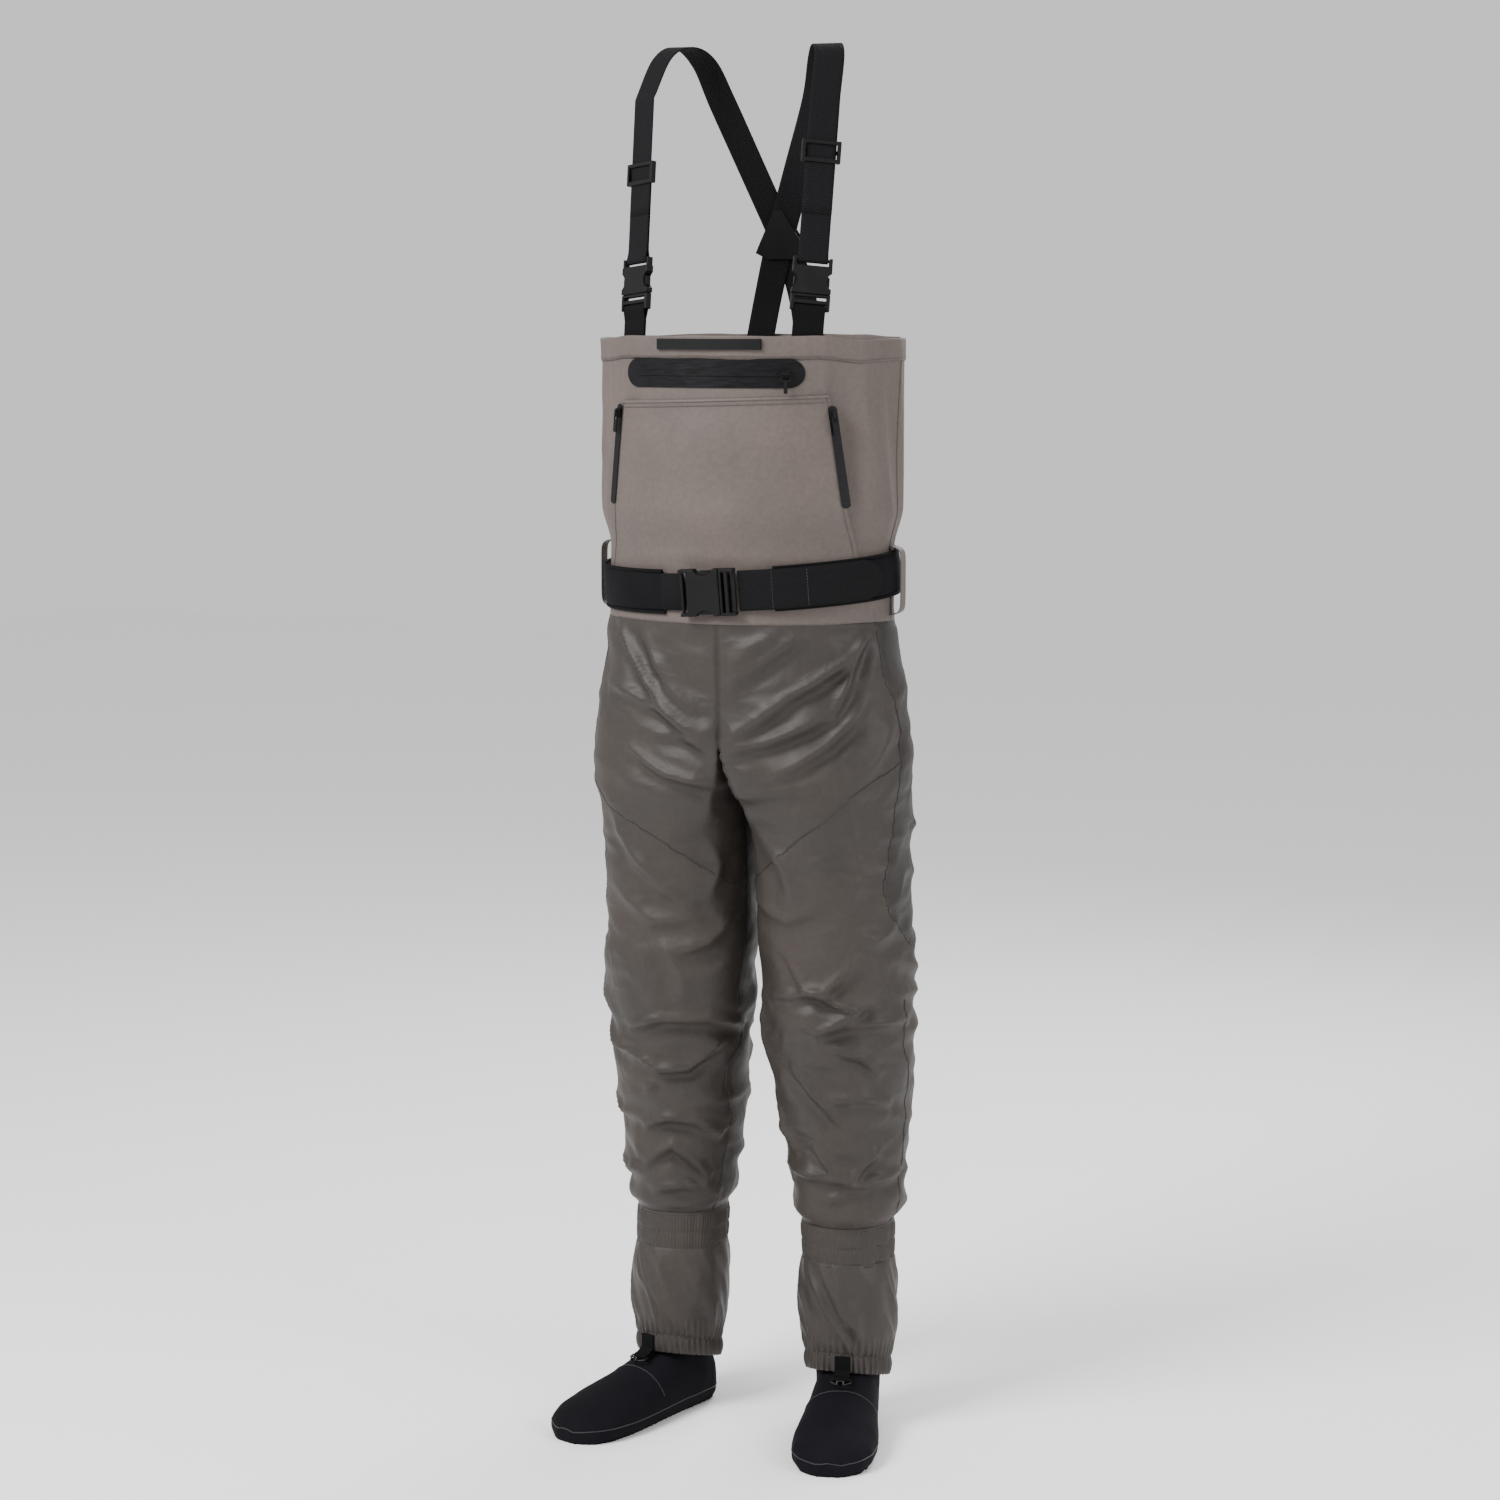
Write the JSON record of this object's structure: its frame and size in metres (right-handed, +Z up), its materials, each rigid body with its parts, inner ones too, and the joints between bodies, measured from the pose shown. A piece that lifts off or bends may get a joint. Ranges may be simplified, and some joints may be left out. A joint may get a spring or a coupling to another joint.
{
  "type": "chest waders",
  "caption": "Breathable stockingfoot chest waders with crossed shoulder straps, side-release buckles, padded belt, chest and side zips, gravel guards and sock feet.",
  "frame": {"origin": "middle of the whole object on the floor: the soles stand on Z = 0, and X = 0 and Y = 0 are the middle of its box (the feet turn out unequally, so the body is 9 mm to +X and 16 mm to +Y)", "axes": "+Z up, the wearer faces -Y, +X is the wearer's left"},
  "size_m": [0.4346, 0.3054, 1.7573],
  "materials": {
    "bib_fabric": "matte",
    "leg_fabric": "satin",
    "neoprene": "matte",
    "sole_neoprene": "matte",
    "belt_padding": "matte",
    "webbing": "matte",
    "buckle_plastic": "satin",
    "moulded_trim": "matte",
    "bonded_film": "satin",
    "zip_tape": "satin",
    "zip_slider": "satin",
    "hook_wire": "satin",
    "pocket_mesh": "matte"
  },
  "bodies": {
    "bib": {"bib_front_panel": "bib_fabric", "bib_back_panel": "bib_fabric", "top_hem": "bib_fabric", "chest_zip_patch": "bonded_film", "chest_zip_chain": "zip_tape", "chest_pocket_bag": "pocket_mesh", "handwarmer_pouch": "bib_fabric", "pouch_zips": "zip_tape", "docking_strip": "moulded_trim", "front_tabs": "webbing", "shoulder_buckle_males": "buckle_plastic", "strap_loops": "webbing", "shoulder_straps": "webbing", "back_patch": "moulded_trim", "belt": "belt_padding", "belt_tail": "belt_padding", "belt_loops": "bib_fabric", "belt_buckle_female": "buckle_plastic", "seat_panels": "leg_fabric"},
    "foot_left": {"sock_left": "neoprene", "sole_left": "sole_neoprene", "guard_hem_left": "leg_fabric", "hook_tab_left": "webbing"},
    "shin_left": {"shin_left": "leg_fabric", "calf_band_left": "leg_fabric", "gravel_guard_left": "leg_fabric", "ankle_sleeve_left": "neoprene"},
    "thigh_left": {"thigh_left": "leg_fabric", "hip_left": "leg_fabric", "knee_left": "leg_fabric"},
    "lace_hook_left": {"lace_hook_left": "hook_wire"},
    "shoulder_buckle_left": {"shoulder_buckle_female_left": "buckle_plastic"},
    "shoulder_arm_outer_left": {"shoulder_arm_outer_left": "buckle_plastic"},
    "shoulder_arm_inner_left": {"shoulder_arm_inner_left": "buckle_plastic"},
    "triglide_left": {"triglide_left": "buckle_plastic"},
    "pouch_slider_left": {"pouch_slider_left": "zip_slider"},
    "pouch_pull_left": {"pouch_pull_left": "zip_slider"},
    "foot_right": {"sock_right": "neoprene", "sole_right": "sole_neoprene", "guard_hem_right": "leg_fabric", "hook_tab_right": "webbing"},
    "shin_right": {"shin_right": "leg_fabric", "calf_band_right": "leg_fabric", "gravel_guard_right": "leg_fabric", "ankle_sleeve_right": "neoprene"},
    "thigh_right": {"thigh_right": "leg_fabric", "hip_right": "leg_fabric", "knee_right": "leg_fabric"},
    "lace_hook_right": {"lace_hook_right": "hook_wire"},
    "shoulder_buckle_right": {"shoulder_buckle_female_right": "buckle_plastic"},
    "shoulder_arm_outer_right": {"shoulder_arm_outer_right": "buckle_plastic"},
    "shoulder_arm_inner_right": {"shoulder_arm_inner_right": "buckle_plastic"},
    "triglide_right": {"triglide_right": "buckle_plastic"},
    "pouch_slider_right": {"pouch_slider_right": "zip_slider"},
    "pouch_pull_right": {"pouch_pull_right": "zip_slider"},
    "chest_slider": {"chest_zip_slider": "zip_slider"},
    "chest_pull": {"chest_zip_pull": "zip_slider"},
    "belt_male": {"belt_buckle_male": "buckle_plastic"},
    "belt_arm_upper": {"belt_buckle_arm_upper": "buckle_plastic"},
    "belt_arm_lower": {"belt_buckle_arm_lower": "buckle_plastic"}
  },
  "joints": [
    {"name": "hip_left", "type": "hinge", "parent": "bib", "child": "thigh_left", "pos_m": [0.11033, 0.03395, 0.845], "axis": [-1, 0, 0], "range_deg": [-10, 40], "deforming": ["hip_left"]},
    {"name": "knee_left", "type": "hinge", "parent": "thigh_left", "child": "shin_left", "pos_m": [0.11733, 0.03095, 0.555], "axis": [1, 0, 0], "range_deg": [0, 45], "deforming": ["knee_left"]},
    {"name": "ankle_left", "type": "hinge", "parent": "shin_left", "child": "foot_left", "pos_m": [0.12633, 0.06107, 0.095], "axis": [-0.9781, -0.2079, 0], "range_deg": [-15, 12], "deforming": ["gravel_guard_left", "ankle_sleeve_left"]},
    {"name": "lace_hook_left", "type": "hinge", "parent": "foot_left", "child": "lace_hook_left", "pos_m": [0.14213, -0.01327, 0.079], "axis": [-0.9781, -0.2079, 0], "range_deg": [0, 100]},
    {"name": "shoulder_release_left", "type": "slide", "parent": "bib", "child": "shoulder_buckle_left", "axis": [0.0164, 0.1724, 0.9849], "range_m": [0, 0.04], "deforming": ["strap_loops", "shoulder_arm_outer_left", "shoulder_arm_inner_left"]},
    {"name": "shoulder_arm_outer_left", "type": "hinge", "parent": "bib", "child": "shoulder_arm_outer_left", "pos_m": [0.13126, -0.07152, 1.45106], "axis": [0.4493, -0.8813, 0.1467], "range_deg": [0, 7], "stiffness_Nm_per_rad": 0.05},
    {"name": "shoulder_arm_inner_left", "type": "hinge", "parent": "bib", "child": "shoulder_arm_inner_left", "pos_m": [0.10714, -0.0834, 1.45354], "axis": [-0.4493, 0.8813, -0.1467], "range_deg": [0, 7], "stiffness_Nm_per_rad": 0.05},
    {"name": "triglide_left", "type": "slide", "parent": "bib", "child": "triglide_left", "axis": [0.0164, 0.1724, 0.9849], "range_m": [-0.035, 0.035], "deforming": ["strap_loops"]},
    {"name": "pouch_slider_left", "type": "slide", "parent": "bib", "child": "pouch_slider_left", "axis": [0.1235, 0.0922, -0.9881], "range_m": [0, 0.1042]},
    {"name": "pouch_pull_left", "type": "hinge", "parent": "pouch_slider_left", "child": "pouch_pull_left", "pos_m": [0.15135, -0.08266, 1.30684], "axis": [-0.7921, -0.5906, -0.1541], "range_deg": [0, 150]},
    {"name": "hip_right", "type": "hinge", "parent": "bib", "child": "thigh_right", "pos_m": [-0.09167, 0.03498, 0.845], "axis": [-1, 0, 0], "range_deg": [-10, 40], "deforming": ["hip_right"]},
    {"name": "knee_right", "type": "hinge", "parent": "thigh_right", "child": "shin_right", "pos_m": [-0.09867, 0.03241, 0.555], "axis": [1, 0, 0], "range_deg": [0, 45], "deforming": ["knee_right"]},
    {"name": "ankle_right", "type": "hinge", "parent": "shin_right", "child": "foot_right", "pos_m": [-0.10767, 0.06107, 0.095], "axis": [-0.9336, 0.3584, 0], "range_deg": [-15, 12], "deforming": ["gravel_guard_right", "ankle_sleeve_right"]},
    {"name": "lace_hook_right", "type": "hinge", "parent": "foot_right", "child": "lace_hook_right", "pos_m": [-0.13491, -0.00988, 0.079], "axis": [-0.9336, 0.3584, 0], "range_deg": [0, 100]},
    {"name": "shoulder_release_right", "type": "slide", "parent": "bib", "child": "shoulder_buckle_right", "axis": [-0.0164, 0.1724, 0.9849], "range_m": [0, 0.04], "deforming": ["strap_loops", "shoulder_arm_outer_right", "shoulder_arm_inner_right"]},
    {"name": "shoulder_arm_outer_right", "type": "hinge", "parent": "bib", "child": "shoulder_arm_outer_right", "pos_m": [-0.12036, -0.06668, 1.45098], "axis": [0.4825, 0.8641, -0.1432], "range_deg": [0, 7], "stiffness_Nm_per_rad": 0.05},
    {"name": "shoulder_arm_inner_right", "type": "hinge", "parent": "bib", "child": "shoulder_arm_inner_right", "pos_m": [-0.09672, -0.07944, 1.45361], "axis": [-0.4825, -0.8641, 0.1432], "range_deg": [0, 7], "stiffness_Nm_per_rad": 0.05},
    {"name": "triglide_right", "type": "slide", "parent": "bib", "child": "triglide_right", "axis": [-0.0164, 0.1724, 0.9849], "range_m": [-0.035, 0.035], "deforming": ["strap_loops"]},
    {"name": "pouch_slider_right", "type": "slide", "parent": "bib", "child": "pouch_slider_right", "axis": [-0.1235, 0.0922, -0.9881], "range_m": [0, 0.1042]},
    {"name": "pouch_pull_right", "type": "hinge", "parent": "pouch_slider_right", "child": "pouch_pull_right", "pos_m": [-0.1327, -0.08266, 1.30684], "axis": [-0.7921, 0.5906, 0.1541], "range_deg": [0, 150]},
    {"name": "chest_slider", "type": "hinge", "parent": "bib", "child": "chest_slider", "pos_m": [0.00933, 0.12107, 1.357], "axis": [0, 0, 1], "range_deg": [-46.53, 0]},
    {"name": "chest_pull", "type": "hinge", "parent": "chest_slider", "child": "chest_pull", "pos_m": [0.09892, -0.10975, 1.357], "axis": [-0.9322, -0.3618, 0], "range_deg": [0, 150]},
    {"name": "belt_release", "type": "slide", "parent": "bib", "child": "belt_male", "axis": [0.9986, 0, 0.0523], "range_m": [0, 0.045], "deforming": ["belt_tail", "belt_buckle_arm_upper", "belt_buckle_arm_lower"]},
    {"name": "belt_arm_upper", "type": "hinge", "parent": "belt_male", "child": "belt_arm_upper", "pos_m": [0.01675, -0.12039, 1.1104], "axis": [0.0037, -0.9976, -0.0697], "range_deg": [0, 6], "stiffness_Nm_per_rad": 0.05},
    {"name": "belt_arm_lower", "type": "hinge", "parent": "belt_male", "child": "belt_arm_lower", "pos_m": [0.01868, -0.11781, 1.07354], "axis": [-0.0037, 0.9976, 0.0697], "range_deg": [0, 6], "stiffness_Nm_per_rad": 0.05}
  ],
  "couplings": [
    {"joint": "shoulder_arm_inner_left", "follows": "shoulder_arm_outer_left", "ratio": 1},
    {"joint": "shoulder_arm_inner_right", "follows": "shoulder_arm_outer_right", "ratio": 1},
    {"joint": "belt_arm_lower", "follows": "belt_arm_upper", "ratio": 1}
  ]
}
